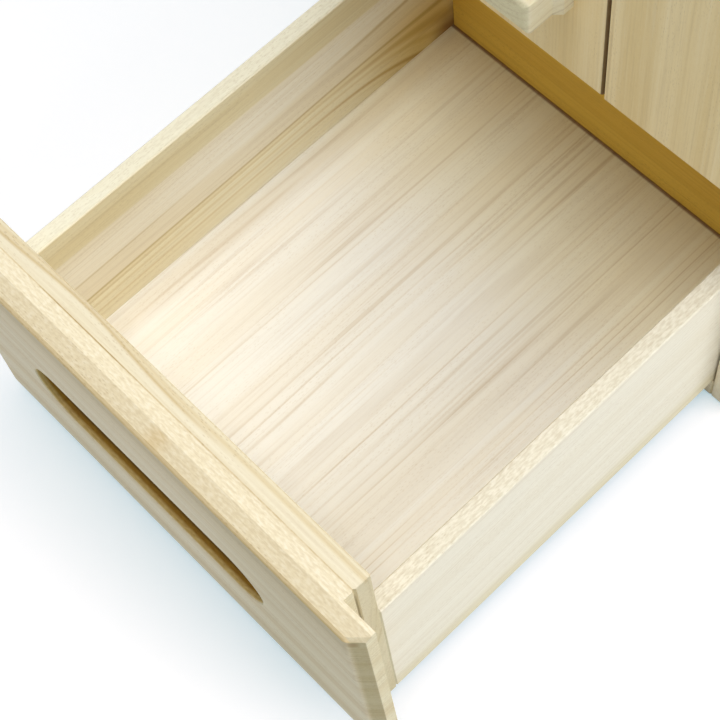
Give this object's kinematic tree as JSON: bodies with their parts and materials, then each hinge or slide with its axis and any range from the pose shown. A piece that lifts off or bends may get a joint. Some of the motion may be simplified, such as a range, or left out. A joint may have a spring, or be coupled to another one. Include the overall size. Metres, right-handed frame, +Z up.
{
  "type": "wooden rice bin",
  "caption": "Free-standing pale wooden grain bin with a hopper, a measuring slide with a knob, a pull-out catch drawer with a finger pull, and a lift-off lid.",
  "frame": {"origin": "centre of the cabinet's base, on the surface that it stands on", "axes": "+X to the right, +Y to the back, away from the drawer's front, +Z up"},
  "size_m": [0.248, 0.4973, 0.4813],
  "materials": {
    "drawer_wood": "bare planed paulownia, fine sanded",
    "cabinet_wood": "bare planed paulownia, fine sanded",
    "slide_wood": "bare planed paulownia, fine sanded",
    "lid_wood": "bare planed paulownia, fine sanded",
    "steel": "zinc-plated steel"
  },
  "bodies": {
    "cabinet": {"cabinet_back": "cabinet_wood", "cabinet_bottom": "cabinet_wood", "cabinet_left_side": "cabinet_wood", "cabinet_right_side": "cabinet_wood", "front_left_stave": "cabinet_wood", "front_right_stave": "cabinet_wood", "front_upper_stave": "cabinet_wood", "hopper_back_slope": "cabinet_wood", "hopper_floor": "cabinet_wood", "hopper_front_slope": "cabinet_wood", "hopper_left_slope": "cabinet_wood", "hopper_right_slope": "cabinet_wood", "measuring_shelf": "cabinet_wood", "slide_left_guide": "cabinet_wood", "slide_right_guide": "cabinet_wood", "slide_stop_peg": "cabinet_wood"},
    "drawer": {"drawer_front_board": "drawer_wood", "drawer_inner_front": "drawer_wood", "drawer_left_side": "drawer_wood", "drawer_right_side": "drawer_wood", "drawer_back": "drawer_wood", "drawer_floor": "drawer_wood", "drawer_front_screws": "steel"},
    "measuring_slide": {"slide_plate": "slide_wood", "slide_left_side": "slide_wood", "slide_right_side": "slide_wood", "pocket_front_wall": "slide_wood", "pocket_back_wall": "slide_wood", "slide_cover": "slide_wood", "slide_tail_bar": "slide_wood", "slide_knob": "slide_wood", "knob_screw": "steel"},
    "lid": {"lid_board": "lid_wood", "lid_front_batten": "lid_wood", "lid_back_batten": "lid_wood", "lid_grip": "lid_wood"}
  },
  "joints": [
    {"name": "drawer_slide", "type": "slide", "parent": "cabinet", "child": "drawer", "axis": [0, -1, 0], "range_m": [-0.207, 0.03]},
    {"name": "measuring_slide_pull", "type": "slide", "parent": "cabinet", "child": "measuring_slide", "axis": [0, -1, 0], "range_m": [0, 0.07]},
    {"name": "lid_lift", "type": "slide", "parent": "cabinet", "child": "lid", "axis": [0, 0, 1], "range_m": [0, 0.06]}
  ]
}
